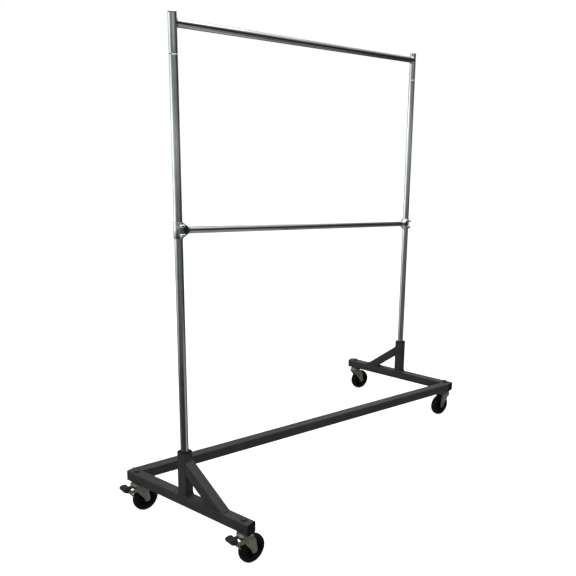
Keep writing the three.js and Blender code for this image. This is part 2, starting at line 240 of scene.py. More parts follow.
def raise_grain(tree, shader, layers):
    """Bump layers (height, depth in metres, strength), one on the other."""
    normal = None
    for height, depth, strength in layers:
        bump = add(tree, "ShaderNodeBump", {"Height": height, "Distance": depth, "Strength": strength})
        if normal is not None:
            tree.links.new(normal, bump.inputs["Normal"])
        normal = bump.outputs["Normal"]
    tree.links.new(normal, shader.inputs["Normal"])


def paint_material():
    """Charcoal powder coat: fine orange peel, faint mottling, dust on what faces up."""
    material, tree, shader = new_material("charcoal_paint", grey(0.022), 0.5, Specular_IOR_Level=0.3)
    place = coordinates(tree)
    mottling = speckle(tree, place, 14, 4)
    grain = speckle(tree, place, 900, 2)
    dust = speckle(tree, place, 160, 5, 0.7)
    clean = ramp(tree, mottling, [(0.3, (0.024, 0.024, 0.0245)), (0.7, grey(0.036))])
    normal = add(tree, "ShaderNodeNewGeometry").outputs["Normal"]
    facing_up = add(tree, "ShaderNodeSeparateXYZ", {"Vector": normal}).outputs["Z"]
    settled = add(tree, "ShaderNodeMath", {0: facing_up, 1: dust}, operation="MULTIPLY", use_clamp=True)
    amount = add(tree, "ShaderNodeMath", {0: settled.outputs[0], 1: 0.2}, operation="MULTIPLY")
    color = blend(tree, amount.outputs[0], clean, (0.07, 0.069, 0.066, 1))
    tree.links.new(color, shader.inputs["Base Color"])
    tree.links.new(spread(tree, dust, 0.42, 0.6), shader.inputs["Roughness"])
    raise_grain(tree, shader, [(grain, 0.00025, 0.35), (dust, 0.0003, 0.12)])
    return material


def chrome_material():
    """Bright plate over drawn tube: near mirror, with faint haze, hairlines and long waves."""
    tint = (0.70, 0.715, 0.72)
    darker = tuple(0.86 * part for part in tint)
    material, tree, shader = new_material("chrome", tint, 0.08, 1.0)
    haze = speckle(tree, coordinates(tree), 22, 4)
    hairlines = speckle(tree, coordinates(tree, (900, 900, 14)), 1, 2)
    waves = speckle(tree, coordinates(tree, (1, 1, 0.3)), 45, 1)
    tree.links.new(ramp(tree, haze, [(0.3, darker), (0.65, tint)]), shader.inputs["Base Color"])
    tree.links.new(spread(tree, haze, 0.05, 0.13), shader.inputs["Roughness"])
    raise_grain(tree, shader, [(waves, 0.0006, 0.12), (hairlines, 0.00003, 0.06)])
    return material


def zinc_material():
    """Dull yellow-green zinc plate on pressed steel: spangled and scuffed, with random darker and lighter
    stains.
    """
    material, tree, shader = new_material("zinc", (0.23, 0.24, 0.185), 0.6, 0.65)
    place = coordinates(tree)
    spangle = add(tree, "ShaderNodeTexVoronoi", {"Vector": place, "Scale": 260}).outputs["Distance"]
    stain = speckle(tree, place, 45, 5, 0.65)
    color = ramp(
        tree, stain, [(0.3, (0.12, 0.125, 0.09)), (0.5, (0.23, 0.24, 0.185)), (0.7, (0.37, 0.375, 0.32))]
    )
    tree.links.new(color, shader.inputs["Base Color"])
    tree.links.new(spread(tree, stain, 0.5, 0.7), shader.inputs["Roughness"])
    raise_grain(tree, shader, [(spangle, 0.0002, 0.08), (stain, 0.0004, 0.1)])
    return material


def rubber_material():
    """Black tyre with brown dust rubbed into its tread."""
    material, tree, shader = new_material("rubber", (0.005, 0.005, 0.0045), 0.65, Specular_IOR_Level=0.12)
    place = coordinates(tree)
    grain = speckle(tree, place, 1100, 2)
    dirt = speckle(tree, place, 70, 5, 0.7)
    color = ramp(tree, dirt, [(0.42, (0.003, 0.003, 0.0026)), (0.75, (0.015, 0.0148, 0.012))])
    tree.links.new(color, shader.inputs["Base Color"])
    tree.links.new(spread(tree, dirt, 0.5, 0.8), shader.inputs["Roughness"])
    raise_grain(tree, shader, [(grain, 0.0002, 0.3), (dirt, 0.0003, 0.15)])
    return material


def plastic_material(name, color, gloss):
    """Moulded plastic: fine spark texture, scuffs and dust."""
    material, tree, shader = new_material(name, color, gloss, Specular_IOR_Level=0.14)
    place = coordinates(tree)
    grain = speckle(tree, place, 1500, 2)
    scuffs = speckle(tree, coordinates(tree, (1, 1, 6)), 60, 5, 0.7)
    lighter = tuple(1.8 * part + 0.0015 for part in color)
    tree.links.new(ramp(tree, scuffs, [(0.45, color), (0.75, lighter)]), shader.inputs["Base Color"])
    tree.links.new(spread(tree, scuffs, gloss - 0.08, gloss + 0.15), shader.inputs["Roughness"])
    raise_grain(tree, shader, [(grain, 0.00015, 0.25)])
    return material


def floor_material():
    """Pale, smooth studio floor, lit from below so that it fades into the white behind it."""
    material, tree, shader = new_material("floor", grey(0.5), 0.8, Specular_IOR_Level=0.0)
    shader.inputs["Emission Color"].default_value = (1, 1, 1, 1)
    shader.inputs["Emission Strength"].default_value = 0.86
    tone = speckle(tree, coordinates(tree), 3, 3)
    color = ramp(tree, tone, [(0.3, grey(0.49)), (0.7, grey(0.51))])
    tree.links.new(color, shader.inputs["Base Color"])
    return material


SLOTS = {
    "charcoal_paint": paint_material(),
    "chrome": chrome_material(),
    "zinc": zinc_material(),
    "rubber": rubber_material(),
    "black_plastic": plastic_material("black_plastic", grey(0.0015), 0.42),
    "pedal_plastic": plastic_material("pedal_plastic", (0.022, 0.022, 0.021), 0.5),
}


# ---- mesh shapes ----
def as_mesh(bm):
    bmesh.ops.recalc_face_normals(bm, faces=bm.faces)
    mesh = bpy.data.meshes.new("shape")
    bm.to_mesh(mesh)
    bm.free()
    return mesh


def span_rings(bm, first, second):
    """Faces between two rings of vertices. A ring of one vertex is a pole."""
    count = max(len(first), len(second))
    for i in range(count):
        j = (i + 1) % count
        corners = [first[k % len(first)] for k in (i, j)]
        corners += [second[k % len(second)] for k in (j, i)]
        unique = list(dict.fromkeys(corners))
        if len(unique) > 2:
            bm.faces.new(unique)


def soften(points, radius, steps=4, closed=False):
    """A line through points with its corners rounded. An open line keeps its two ends."""
    result = []
    for i, point in enumerate(points):
        corner = Vector(point)
        if not closed and i in (0, len(points) - 1):
            result.append(corner)
            continue
        before = Vector(points[i - 1]) - corner
        after = Vector(points[(i + 1) % len(points)]) - corner
        reach = min(radius, 0.45 * before.length, 0.45 * after.length)
        start = corner + before.normalized() * reach
        end = corner + after.normalized() * reach
        for k in range(steps + 1):
            t = k / steps
            result.append((1 - t) ** 2 * start + 2 * t * (1 - t) * corner + t * t * end)
    return result


def lathe(profile, sides=72, closed=False):
    """A profile [radius, height] turned about Z."""
    bm = bmesh.new()
    rings = []
    for radius, height in profile:
        count = 1 if radius < 1e-6 else sides
        angles = [2 * math.pi * i / sides for i in range(count)]
        rings.append([bm.verts.new((radius * math.cos(a), radius * math.sin(a), height)) for a in angles])
    for first, second in zip(rings, rings[1:]):
        span_rings(bm, first, second)
    if closed:
        span_rings(bm, rings[-1], rings[0])
    return as_mesh(bm)


def rod(radius, low, high, rounding=0.0, sides=48):
    """A solid bar along Z."""
    profile = [(0, low), (radius, low), (radius, high), (0, high)]
    return lathe(soften(profile, rounding, 3) if rounding else profile, sides)


def pipe(outer, inner, low, high):
    """An open tube along Z with softened lips. Rings near its ends keep the long face straight in shading."""
    profile = [(outer, low), (outer, low + NEAR_LIP), (outer, high - NEAR_LIP), (outer, high)]
    profile += [(inner, high), (inner, low)]
    return lathe(soften(profile, 0.4, 3, closed=True), ROUND_SIDES, closed=True)


def prism(outline, low, high):
    """An outline [x, y] raised along Z."""
    bm = bmesh.new()
    rings = [[bm.verts.new((x, y, z)) for x, y in outline] for z in (low, high)]
    span_rings(bm, rings[0], rings[1])
    bm.faces.new(rings[0])
    bm.faces.new(rings[1])
    return as_mesh(bm)


def sideways(outline, low, high):
    """An outline [x, z] raised along Y."""
    return moved(prism(outline, -high, -low), Matrix.Rotation(math.pi / 2, 4, "X"))


def square(side, corner, steps=6):
    """The points of a square with round corners."""
    half = side / 2 - corner
    points = []
    for quarter in range(4):
        centre_x = half if quarter in (0, 3) else -half
        centre_y = half if quarter in (0, 1) else -half
        for k in range(steps + 1):
            angle = math.pi / 2 * (quarter + k / steps)
            points.append((centre_x + corner * math.cos(angle), centre_y + corner * math.sin(angle)))
    return points


def arc(centre, radius, start, end, steps=16):
    """Points on an arc, with its angles in degrees."""
    angles = [math.radians(start + (end - start) * k / steps) for k in range(steps + 1)]
    return [(centre[0] + radius * math.cos(a), centre[1] + radius * math.sin(a)) for a in angles]


def moved(mesh, matrix):
    mesh.transform(matrix)
    if matrix.to_3x3().determinant() < 0:
        mesh.flip_normals()
    return mesh


def shift(x, y, z):
    return Matrix.Translation((x, y, z))


def evaluated(mesh, prepare):
    """A mesh after the modifiers that prepare adds to it."""
    worker = bpy.data.objects.new("worker", mesh)
    bpy.context.scene.collection.objects.link(worker)
    prepare(worker)
    graph = bpy.context.evaluated_depsgraph_get()
    result = bpy.data.meshes.new_from_object(worker.evaluated_get(graph))
    bpy.data.objects.remove(worker)
    return result


def combine(mesh, other, operation):
    """One mesh joined with another (UNION), cut by it (DIFFERENCE) or kept inside it (INTERSECT)."""
    tool = bpy.data.objects.new("tool", other)
    bpy.context.scene.collection.objects.link(tool)

    def prepare(worker):
        modifier = worker.modifiers.new("combine", "BOOLEAN")
        modifier.operation = operation
        modifier.object = tool
        modifier.solver = "EXACT"

    result = evaluated(mesh, prepare)
    bpy.data.objects.remove(tool)
    return result


def join(*meshes):
    result = meshes[0]
    for mesh in meshes[1:]:
        result = combine(result, mesh, "UNION")
    return result


def cut(mesh, *tools):
    for tool in tools:
        mesh = combine(mesh, tool, "DIFFERENCE")
    return mesh


def merged(mesh):
    """A mesh whose points at the same place are made one."""
    reach = 0.002
    bm = bmesh.new()
    bm.from_mesh(mesh)
    bmesh.ops.remove_doubles(bm, verts=bm.verts, dist=reach)
    bmesh.ops.dissolve_degenerate(bm, edges=bm.edges, dist=reach)
    bm.to_mesh(mesh)
    bm.free()
    return mesh


def rounded(mesh, width, segments=3, angle=35):
    """A mesh with its sharper edges rounded."""

    def prepare(worker):
        modifier = worker.modifiers.new("round", "BEVEL")
        modifier.width = width
        modifier.segments = segments
        modifier.limit_method = "ANGLE"
        modifier.angle_limit = math.radians(angle)
        modifier.use_clamp_overlap = True

    return evaluated(mesh, prepare)


def piece(name, mesh, matrix, slot, body, *nodes, angle=32):
    """A placed copy of a shape, with its finish and its body. The CAD nodes that it stands for are hidden."""
    mesh = moved(mesh.copy(), Matrix.Scale(MM, 4) @ matrix)
    mesh.polygons.foreach_set("use_smooth", [True] * len(mesh.polygons))
    mesh.set_sharp_from_angle(angle=math.radians(angle))
    mesh.name = name
    mesh.materials.clear()
    mesh.materials.append(SLOTS[slot])
    made = bpy.data.objects.new(name, mesh)
    bpy.context.scene.collection.objects.link(made)
    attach(made, body)
    if nodes:
        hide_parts(*nodes)
    return made


# ---- the painted base ----
def end_matrix(side):
    """The frame of one end of the base: a leg whose corner end points to +Y."""
    return shift(UPRIGHT_X[side], 0, 0) @ Matrix.Rotation(TURN[side], 4, "Z")


def swept_tube(origin, along, across, start, end):
    """A square tube along a line, cut off by two planes (point, normal)."""
    bm = bmesh.new()
    up = along.cross(across)
    loops = []
    for side, corner, plane in (
        (TUBE, TUBE_CORNER, start),
        (TUBE, TUBE_CORNER, end),
        (TUBE - 2 * TUBE_WALL, TUBE_CORNER - TUBE_WALL, end),
        (TUBE - 2 * TUBE_WALL, TUBE_CORNER - TUBE_WALL, start),
    ):
        point, normal = plane
        loop = []
        for u, v in square(side, corner):
            base = origin + across * u + up * v
            loop.append(bm.verts.new(base + along * ((point - base).dot(normal) / along.dot(normal))))
        loops.append(loop)
    for first, second in zip(loops, loops[1:] + loops[:1]):
        span_rings(bm, first, second)
    return as_mesh(bm)


LEG_FREE_END = -(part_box("leg_left")[0].y / MM)
LEG_CORNER_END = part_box("leg_left")[1].y / MM
BRACE_FOOT = -(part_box("brace_left")[0].y / MM)


def leg():
    return swept_tube(Vector((0, 0, LEG_MIDDLE)), Y, X, (Y * -LEG_FREE_END, Y), (Y * LEG_CORNER_END, Y))


def socket():
    return swept_tube(Vector((0, 0, 0)), Z, X, (Z * (LEG_TOP + JOINT_GAP), Z), (Z * SOCKET_TOP, Z))


def brace():
    along = Vector((0, math.cos(BRACE_ANGLE), math.sin(BRACE_ANGLE)))
    foot = BRACE_FOOT - TUBE / 2 / math.sin(BRACE_ANGLE)
    origin = Vector((0, -foot, LEG_TOP))
    face = -TUBE / 2 - JOINT_GAP
    return swept_tube(origin, along, X, (Z * (LEG_TOP + JOINT_GAP), Z), (Y * face, Y))


# The diagonal is turned until its outer edge meets each leg's inner face at the leg's corner end.
BEAM_REACH = SPAN / 2 - TUBE / 2
CORNER_TURN = math.atan2(LEG_CORNER_END, BEAM_REACH)
BEAM_TURN = math.asin(TUBE / 2 / math.hypot(BEAM_REACH, LEG_CORNER_END)) - CORNER_TURN


def beam():
    reach = BEAM_REACH - JOINT_GAP
    along = Vector((math.cos(BEAM_TURN), math.sin(BEAM_TURN), 0))
    return swept_tube(Vector((0, 0, LEG_MIDDLE)), along, Z.cross(along), (X * -reach, X), (X * reach, X))


def plug():
    """A plug on a tube's end at the origin, its domed face towards +Y and its insert in the tube."""
    bm = bmesh.new()
    insert = TUBE - 2 * TUBE_WALL - 2
    insert_corner = TUBE_CORNER - TUBE_WALL + 0.1
    rings = [(insert, insert_corner, -9), (insert, insert_corner, JOINT_GAP)]
    for inset, height in ((0, JOINT_GAP), (0, 1.4), (0.5, 2.0), (1.6, 2.35), (6, 2.5)):
        rings.append((TUBE - 2 * inset, TUBE_CORNER, height))
    loops = []
    for side, corner, height in rings:
        loops.append([bm.verts.new((x, height, z)) for x, z in square(side, corner)])
    for first, second in zip(loops, loops[1:]):
        span_rings(bm, first, second)
    bm.faces.new(loops[0])
    bm.faces.new(loops[-1])
    return as_mesh(bm)


def bush():
    """A plastic collar that centres the upright in its socket."""
    lip = prism(square(TUBE - 0.4, TUBE_CORNER), SOCKET_TOP + JOINT_GAP, SOCKET_TOP + 2.8)
    inside = square(TUBE - 2 * TUBE_WALL - 0.6, TUBE_CORNER - TUBE_WALL)
    body = join(lip, prism(inside, SOCKET_TOP - 30, SOCKET_TOP + 1))
    body = cut(body, rod(UPRIGHT_R + 0.15, SOCKET_TOP - 50, SOCKET_TOP + 10, sides=72))
    return rounded(body, 0.7)


def resampled(points, step, closed=False):
    """Points about a step apart along a line."""
    route = list(points) + ([points[0]] if closed else [])
    result = []
    for start, end in zip(route, route[1:]):
        count = max(1, round((end - start).length / step))
        result += [start.lerp(end, k / count) for k in range(count)]
    if not closed:
        result.append(route[-1])
    return result


def weld_bead(points, radius, closed=False):
    """A bead of weld: a round rope along a corner, its ripples a torch's pause apart."""
    ripple = 3.2
    sides = 10
    around = [2 * math.pi * k / sides for k in range(sides)]
    path = resampled([Vector(point) for point in points], 0.8, closed)
    bm = bmesh.new()
    rings = []
    travelled = 0.0
    for i, point in enumerate(path):
        before = path[i - 1] if i or closed else point
        after = path[(i + 1) % len(path)] if i < len(path) - 1 or closed else point
        along = (after - before).normalized()
        side = along.cross(Z if abs(along.z) < 0.9 else X).normalized()
        up = side.cross(along)
        travelled += (point - before).length
        swell = 1 + 0.10 * math.cos(2 * math.pi * travelled / ripple) + 0.12 * noise.noise(point / 9)
        ends = min(i, len(path) - 1 - i)
        thick = radius * swell * (1 if closed else min(1, 0.3 + ends / 4))
        rings.append([bm.verts.new(point + thick * (side * math.cos(a) + up * math.sin(a))) for a in around])
    for first, second in zip(rings, rings[1:]):
        span_rings(bm, first, second)
    if closed:
        span_rings(bm, rings[-1], rings[0])
    else:
        bm.faces.new(rings[0])
        bm.faces.new(rings[-1])
    return as_mesh(bm)


def end_welds():
    """The beads on one end of the base, in that end's frame."""
    half = TUBE / 2
    flat = half - TUBE_CORNER + 1
    out = half + BEAD_LIFT
    low = LEG_TOP + BEAD_LIFT
    front = -BRACE_FOOT - 0.8
    toe = -(BRACE_FOOT - TUBE / math.sin(BRACE_ANGLE))
    head = LEG_TOP + math.tan(BRACE_ANGLE) * (BRACE_FOOT - half)
    throat = head - TUBE / math.cos(BRACE_ANGLE)
    around = [
        (-out, flat, low), (-out, -flat, low), (-flat, -out, low), (flat, -out, low),
        (out, -flat, low), (out, flat, low), (flat, out, low), (-flat, out, low),
    ]
    lines = {
        "brace_heel": (front, low, BEAD_R),
        "brace_toe": (toe, low, BEAD_R),
        "brace_head": (-half - 0.8, head, BEAD_R),
        "brace_throat": (-out, throat, THIN_BEAD_R),
    }
    welds = {"socket_foot": weld_bead(around, THIN_BEAD_R, closed=True)}
    for kind, (y, z, radius) in lines.items():
        welds[kind] = weld_bead([(-flat, y, z), (flat, y, z)], radius)
    return welds


def beam_welds():
    """The beads at the diagonal's left end, in a frame at the middle of the base."""
    face = BEAD_LIFT - BEAM_REACH
    slope = math.tan(BEAM_TURN)
    offset = TUBE / 2 / math.cos(BEAM_TURN)
    outer = face * slope + offset
    inner = face * slope - offset
    low, high = LEG_BOTTOM + 4, LEG_TOP - 4
    seam = LEG_TOP - 0.9
    return {
        "outer": weld_bead([(face, outer, low), (face, outer, high)], BEAD_R),
        "inner": weld_bead([(face, inner, low), (face, inner, high)], BEAD_R),
        "top": weld_bead([(face, outer - 4, seam), (face, inner + 4, seam)], 1.6),
    }


def add_base():
    tubes = {"leg": leg(), "socket": socket(), "brace": brace()}
    welds = end_welds()
    for side in SIDES:
        matrix = end_matrix(side)
        for kind, mesh in tubes.items():
            piece(f"{kind}_{side}_painted", mesh, matrix, "charcoal_paint", "base", f"{kind}_{side}")
        for kind, mesh in welds.items():
            piece(f"weld_{kind}_{side}", mesh, matrix, "charcoal_paint", "base")
        piece(f"socket_bush_{side}_moulded", bush(), matrix, "black_plastic", "base", f"socket_bush_{side}")
        corner = matrix @ shift(0, LEG_CORNER_END, LEG_MIDDLE)
        end = matrix @ Matrix.Rotation(math.pi, 4, "Z") @ shift(0, LEG_FREE_END, LEG_MIDDLE)
        piece(f"corner_plug_{side}_moulded", plug(), corner, "black_plastic", "base", f"corner_plug_{side}")
        piece(f"end_plug_{side}_moulded", plug(), end, "black_plastic", "base", f"end_plug_{side}")
    centre = shift(MIDDLE_X, 0, 0)
    piece("diagonal_beam_painted", beam(), centre, "charcoal_paint", "base", "diagonal_beam")
    for side in SIDES:
        matrix = centre @ Matrix.Rotation(TURN[side], 4, "Z")
        for kind, mesh in beam_welds().items():
            piece(f"weld_beam_{kind}_{side}", mesh, matrix, "charcoal_paint", "base")


# ---- uprights and top frame ----
def saddle_rail():
    """The top rail, its ends shaped to the posts."""
    bm = bmesh.new()
    loops = []
    inner = TOP_RAIL_R - ROUND_WALL
    for radius, sign in ((TOP_RAIL_R, -1), (TOP_RAIL_R, 1), (inner, 1), (inner, -1)):
        loop = []
        for k in range(ROUND_SIDES):
            angle = 2 * math.pi * k / ROUND_SIDES
            y, z = radius * math.cos(angle), radius * math.sin(angle)
            x = sign * (SPAN / 2 - math.sqrt((UPRIGHT_R + 0.02) ** 2 - y * y))
            loop.append(bm.verts.new((x, y, z)))
        loops.append(loop)
    for first, second in zip(loops, loops[1:] + loops[:1]):
        span_rings(bm, first, second)
    return as_mesh(bm)


def rail_weld():
    """The plated fillet weld between a post at the origin and the rail that leaves it along +X."""
    size = 5.5
    steps = 8
    bm = bmesh.new()
    rings = []
    for k in range(ROUND_SIDES):
        angle = 2 * math.pi * k / ROUND_SIDES
        y, z = TOP_RAIL_R * math.cos(angle), TOP_RAIL_R * math.sin(angle)
        wobble = 1 + 0.10 * noise.noise(Vector((y, z, 3)) / 5)
        corner = Vector((math.sqrt(UPRIGHT_R ** 2 - y * y), y, z))
        on_rail = corner + X * size * wobble
        reach = (TOP_RAIL_R + size * wobble) / TOP_RAIL_R
        wide = max(-UPRIGHT_R + 0.05, min(UPRIGHT_R - 0.05, y * reach))
        on_post = Vector((math.sqrt(UPRIGHT_R ** 2 - wide * wide), wide, z * reach))
        ring = [on_rail - Vector((0, y, z)) * 0.01]
        for step in range(1, steps):
            t = step / steps
            ring.append((1 - t) ** 2 * on_rail + 2 * t * (1 - t) * corner + t * t * on_post)
        ring.append(on_post - X * 0.15)
        ring.append(corner - Vector((0.6, y * 0.05, z * 0.05)))
        rings.append([bm.verts.new(point) for point in ring])
    for first, second in zip(rings, rings[1:] + rings[:1]):
        span_rings(bm, first, second)
    return as_mesh(bm)


def end_post():
    """A post tube with its narrower spigot below the shoulder."""
    shoulder = UPRIGHT_TOP + 0.3
    bore = SPIGOT_R - ROUND_WALL
    profile = [
        (SPIGOT_R - 0.8, POST_BOTTOM),
        (SPIGOT_R, POST_BOTTOM + 2),
        (SPIGOT_R, shoulder),
        (UPRIGHT_R - 0.5, shoulder),
        (UPRIGHT_R, shoulder + 1.2),
        (UPRIGHT_R, shoulder + 1.2 + NEAR_LIP),
        (UPRIGHT_R, POST_TOP - NEAR_LIP),
        (UPRIGHT_R, POST_TOP),
        (bore, POST_TOP),
        (bore, POST_BOTTOM),
    ]
    return lathe(soften(profile, 0.4, 3, closed=True), ROUND_SIDES, closed=True)


def upright():
    """An upright tube whose top lip is chamfered under the post's shoulder."""
    inner = UPRIGHT_R - ROUND_WALL
    chamfer = UPRIGHT_TOP - 2.4
    profile = [
        (UPRIGHT_R, UPRIGHT_BOTTOM),
        (UPRIGHT_R, UPRIGHT_BOTTOM + NEAR_LIP),
        (UPRIGHT_R, chamfer - NEAR_LIP),
        (UPRIGHT_R, chamfer),
        (UPRIGHT_R - 1.0, UPRIGHT_TOP),
        (inner, UPRIGHT_TOP),
        (inner, UPRIGHT_BOTTOM),
    ]
    return lathe(soften(profile, 0.4, 3, closed=True), ROUND_SIDES, closed=True)


def post_cap():
    """A low domed cap whose plug stands in the post."""
    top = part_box("post_cap_left")[1].z / MM
    profile = [
        (0, POST_TOP - 7),
        (UPRIGHT_R - 3.4, POST_TOP - 7),
        (UPRIGHT_R - 3.4, POST_TOP + JOINT_GAP),
        (UPRIGHT_R - 0.1, POST_TOP + JOINT_GAP),
        (UPRIGHT_R - 0.1, POST_TOP + 1.2),
        (UPRIGHT_R - 3, top),
        (0, top),
    ]
    return lathe(soften(profile, 1.2, 5), ROUND_SIDES)


def add_top_frame():
    rail_z = middle("top_rail").z
    for side in SIDES:
        matrix = shift(UPRIGHT_X[side], 0, 0)
        piece(f"upright_{side}_plated", upright(), matrix, "chrome", "base", f"upright_{side}")
        piece(f"end_post_{side}_plated", end_post(), matrix, "chrome", "top_frame", f"end_post_{side}")
        piece(f"post_cap_{side}_plated", post_cap(), matrix, "chrome", "top_frame", f"post_cap_{side}")
        joint = shift(UPRIGHT_X[side], 0, rail_z) @ Matrix.Rotation(TURN[side], 4, "Z")
        piece(f"rail_weld_{side}", rail_weld(), joint, "chrome", "top_frame", angle=60)
    piece("top_rail_plated", saddle_rail(), shift(MIDDLE_X, 0, rail_z), "chrome", "top_frame", "top_rail")


# ---- the lower rail and its clamps ----
LIE_ALONG_X = Matrix.Rotation(math.pi / 2, 4, "Y")


def clamp_collar(turn):
    """A half collar, solid as yet, about an upright at the origin."""
    outline = arc((0, 0), CLAMP_R, -88.9, 88.9, 48)
    half = moved(prism(outline, -CLAMP_HALF, CLAMP_HALF), Matrix.Rotation(turn, 4, "Z"))
    return rounded(half, 0.6, 3, 50)


def clamp_gusset(point):
    """The tapered arm from the collar to the rail, flat on two sides, turned to where the rail points."""
    profile = [(0, 0), (25.5, 0), (25.5, 14), (20, 24), (12.8, 36), (12.8, ARM_LENGTH), (0, ARM_LENGTH)]
    wide, far = ARM_HALF_WIDTH, 99
    slab = prism([(1, -wide), (far, -wide), (far, wide), (1, wide)], -CLAMP_HALF, CLAMP_HALF)
    return combine(moved(lathe(soften(profile, 3, 5), ROUND_SIDES), point), slab, "INTERSECT")


def with_screw_bosses(body, low, high, *bores):
    """A clamp half with its two screw bosses added, then its bores and screw holes cut."""
    holes = []
    for z in (-SCREW_Z, SCREW_Z):
        place = shift(0, SCREW_Y, z) @ LIE_ALONG_X
        body = join(body, moved(rod(BOSS_R, low, high, 0.8), place))
        holes.append(moved(rod(SCREW_R + 0.3, -30, 60, sides=32), place))
    return merged(cut(body, *bores, *holes))


def clamp_halves(slope):
    """An arm half and a strap half about an upright at the origin, the arm towards +X and down by slope."""
    split = 0.5
    point = Matrix.Rotation(math.pi / 2 + slope, 4, "Y")
    upright_bore = rod(UPRIGHT_R + BORE_GAP, -40, 40, sides=ROUND_SIDES)
    rail_bore = moved(rod(MID_RAIL_R + BORE_GAP, CLAMP_R + 3, ARM_LENGTH + 9, sides=ROUND_SIDES), point)
    arm = join(clamp_collar(0), clamp_gusset(point))
    arm = with_screw_bosses(arm, split, BOSS_HALF, upright_bore, rail_bore)
    strap = with_screw_bosses(clamp_collar(math.pi), -BOSS_HALF, -split, upright_bore)
    return arm, strap


def clamp_screw():
    """A pan-head screw along X with a socket in its head."""
    seat = BOSS_HALF + 0.2
    profile = [
        (0, -BOSS_HALF), (SCREW_R, -BOSS_HALF), (SCREW_R, seat), (4.6, seat), (4.6, seat + 1.6),
        (3.2, seat + 3), (2.1, seat + 3), (1.9, seat + 1.4), (0, seat + 1.4),
    ]
    return moved(lathe(soften(profile, 0.5, 3), 48), LIE_ALONG_X)


def clamp_height(side):
    """The middle of a clamp: half way between its two screws."""
    return (middle(f"clamp_screw_upper_{side}").z + middle(f"clamp_screw_lower_{side}").z) / 2


def add_mid_rail():
    left, right = clamp_height("left"), clamp_height("right")
    slope = math.atan2(left - right, SPAN)
    reach = math.hypot(SPAN, left - right) / 2 - RAIL_END
    centre = shift(MIDDLE_X, 0, (left + right) / 2)
    rail = pipe(MID_RAIL_R, MID_RAIL_R - ROUND_WALL, -reach, reach)
    tilt = Matrix.Rotation(math.pi / 2 + slope, 4, "Y")
    piece("mid_rail_plated", rail, centre @ tilt, "chrome", "mid_rail", "mid_rail")
    for side, sign, height in (("left", 1, left), ("right", -1, right)):
        arm, strap = clamp_halves(sign * slope)
        matrix = shift(UPRIGHT_X[side], 0, height) @ Matrix.Scale(sign, 4, X)
        piece(f"clamp_arm_{side}_plated", arm, matrix, "chrome", "mid_rail", f"clamp_arm_{side}")
        piece(f"clamp_strap_{side}_plated", strap, matrix, "chrome", "mid_rail", f"clamp_strap_{side}")
        for label, z in (("upper", SCREW_Z), ("lower", -SCREW_Z)):
            node = f"clamp_screw_{label}_{side}"
            piece(f"{node}_plated", clamp_screw(), matrix @ shift(0, SCREW_Y, z), "zinc", "mid_rail", node)


# ---- casters ----
def hexagon(across_flats, low, high, chamfer=1.0):
    """A hexagon head whose corners are chamfered round."""
    corner = across_flats / math.sqrt(3)
    flat = corner - chamfer
    past = corner + 0.1
    lower, upper = low + chamfer * 0.6, high - chamfer * 0.6
    dome = lathe([(0, low), (flat, low), (past, lower), (past, upper), (flat, high), (0, high)], 48)
    return combine(prism(arc((0, 0), corner, 0, 300, 5), low, high), dome, "INTERSECT")


def lying(x, z):
    """Turns a shape about Z into one about an axle along Y, at a place in XZ."""
    return shift(x, 0, z) @ Matrix.Rotation(-math.pi / 2, 4, "X")


def caster_stem():
    """The fixed half of a caster: race cup, shoulder and threaded stem."""
    ceiling = CROWN_TOP - SHEET - 1
    outline = [
        (0, ceiling - 2.1), (8, ceiling - 2.1), (8, ceiling - 0.2), (5, ceiling - 0.2), (5, CROWN_TOP + 3.5),
        (RACE_R - 2, CROWN_TOP + 3.5), (RACE_R, CROWN_TOP + 5), (RACE_R, CROWN_TOP + 6.3),
        (RACE_R - 1, CROWN_TOP + 7), (RACE_R, CROWN_TOP + 7.7), (RACE_R, CROWN_TOP + 9), (18, CROWN_TOP + 13),
        (18, LEG_BOTTOM - 0.2), (STEM_R, LEG_BOTTOM - 0.2),
    ]
    tip = [(STEM_R, STEM_TOP - 1.5), (STEM_R - 1.5, STEM_TOP), (0, STEM_TOP)]
    return lathe(soften(outline, 0.9, 3) + [Vector(p) for p in tip], 64)


def stem_nut():
    """A flanged cap nut."""
    seat = LEG_TOP + JOINT_GAP
    dome = lathe([(0, seat + 5), (7.6, seat + 5), (6.5, seat + 6), (3.5, seat + 6.6), (0, seat + 6.7)], 48)
    body = join(hexagon(18.9, seat + 0.5, seat + 6.1, 1.4), rod(12.9, seat, seat + 1.7, 0.5, 64), dome)
    return rounded(cut(body, rod(STEM_R + 0.1, seat - 5, STEM_TOP + 0.2)), 0.25, 2)


def pin_hole():
    """The hole of the brake's pin, as a solid to cut with."""
    return moved(rod(PIN_R + HOLE_GAP, -40, 40, sides=32), lying(*PIVOT))


